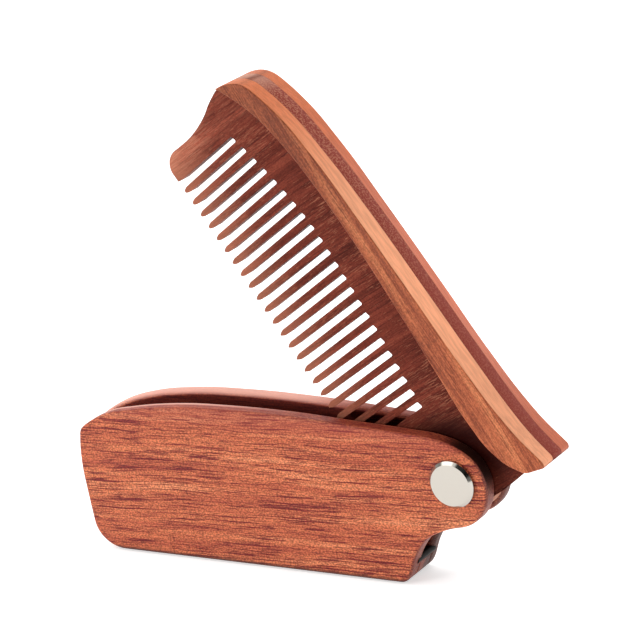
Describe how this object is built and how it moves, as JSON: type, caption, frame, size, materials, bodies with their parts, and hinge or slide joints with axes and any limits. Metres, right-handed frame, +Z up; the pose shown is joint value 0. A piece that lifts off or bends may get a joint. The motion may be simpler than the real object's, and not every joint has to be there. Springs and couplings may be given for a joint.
{
  "type": "folding beard comb",
  "caption": "Wooden beard comb that folds into a two-sided handle on a metal pivot, with a dark toothed plate between two lighter strips along its back.",
  "frame": {"origin": "centre of the handle's flat bottom edge, in the middle of its thickness", "axes": "+X along the handle towards the pivot, +Y through the thickness towards the back, +Z up from the bottom edge to the slot"},
  "size_m": [0.1233, 0.0144, 0.1138],
  "materials": {
    "handle_wood": "satin",
    "plate_wood": "satin",
    "strip_wood": "satin",
    "pivot_metal": "polished",
    "pin_steel": "satin",
    "washer_brass": "satin"
  },
  "bodies": {
    "handle": {"handle_scale_front": "handle_wood", "handle_scale_rear": "handle_wood", "handle_spacer": "handle_wood", "stop_pin": "pin_steel", "pivot_post": "pivot_metal", "pivot_screw": "pivot_metal", "washer_front": "washer_brass", "washer_rear": "washer_brass"},
    "comb": {"comb_plate": "plate_wood", "spine_strip_front": "strip_wood", "spine_strip_rear": "strip_wood"}
  },
  "joints": [
    {"name": "comb_pivot", "type": "hinge", "parent": "handle", "child": "comb", "pos_m": [0.054, 0, 0.0253], "axis": [0, 1, 0], "range_deg": [-58.4, 121.6]}
  ]
}
